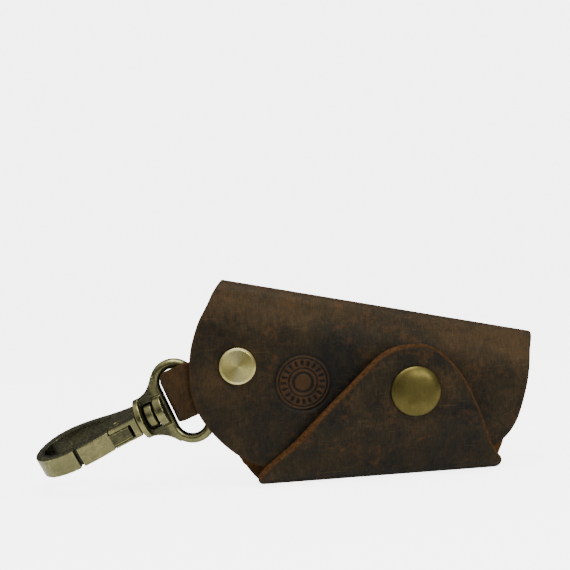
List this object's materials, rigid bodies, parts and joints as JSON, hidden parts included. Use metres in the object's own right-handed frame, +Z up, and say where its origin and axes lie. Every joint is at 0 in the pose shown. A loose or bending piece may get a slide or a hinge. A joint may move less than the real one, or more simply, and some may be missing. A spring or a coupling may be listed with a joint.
{
  "type": "pick holder",
  "caption": "Folded leather pocket case with a press-stud flap, a screwed leather strap and a brass swivel snap hook, for carrying guitar picks.",
  "frame": {"origin": "the press stud's axis on the outer face of the back panel", "axes": "+X along the case away from the hook, +Y out of the back panel, +Z up from the bottom fold"},
  "size_m": [0.138, 0.0279, 0.0561],
  "materials": {
    "case_leather": "pull-up waxed leather, mottled brown to near black, raw orange cut edges",
    "strap_leather": "vegetable-tanned strap leather, brown, softly worn",
    "bright_brass": "turned bright brass with fine concentric marks",
    "antique_brass": "antiqued satin brass",
    "dark_brass": "oxidised brushed antique brass",
    "spring_steel": "plated steel"
  },
  "bodies": {
    "case_back": {"back_panel": "case_leather"},
    "front": {"front_panel": "case_leather", "screw_post": "bright_brass", "screw_bolt": "bright_brass", "snap_stud": "antique_brass", "snap_stud_post": "spring_steel"},
    "flap": {"closure_flap": "case_leather", "snap_cap": "antique_brass", "snap_socket": "antique_brass", "snap_spring": "spring_steel"},
    "strap": {"hook_strap": "strap_leather"},
    "eye": {"swivel_eye": "dark_brass"},
    "hook": {"hook_body": "dark_brass", "swivel_stem": "dark_brass", "gate_pin": "spring_steel", "gate_spring": "spring_steel"},
    "gate": {"hook_gate": "dark_brass"}
  },
  "joints": [
    {"name": "flap_open", "type": "hinge", "parent": "case_back", "child": "flap", "pos_m": [-0.009, -0.00615, -0.0242], "axis": [1, 0, 0], "range_deg": [0, 175]},
    {"name": "front_open", "type": "hinge", "parent": "case_back", "child": "front", "pos_m": [-0.05016, -0.004, 0.03194], "axis": [-0.9755, 0, 0.22], "range_deg": [0, 27]},
    {"name": "strap_swing", "type": "hinge", "parent": "front", "child": "strap", "pos_m": [-0.04735, -0.00665, 0.00929], "axis": [0, 1, 0], "range_deg": [-12, 40]},
    {"name": "eye_pivot", "type": "hinge", "parent": "strap", "child": "eye", "pos_m": [-0.05749, -0.005, 0.00181], "axis": [0.3746, 0, -0.9272], "range_deg": [-17, 16]},
    {"name": "hook_swivel", "type": "hinge", "parent": "eye", "child": "hook", "pos_m": [-0.06226, -0.00409, -0.00012], "axis": [-0.9131, 0.1736, -0.3689], "continuous": true},
    {"name": "gate_open", "type": "hinge", "parent": "hook", "child": "gate", "pos_m": [-0.07962, -0.00341, -0.00767], "axis": [0.398, 0.1828, -0.899], "range_deg": [0, 25], "stiffness_Nm_per_rad": 0.02}
  ],
  "couplings": [
    {"joint": "front_open", "follows": "flap_open", "ratio": 0.15}
  ]
}
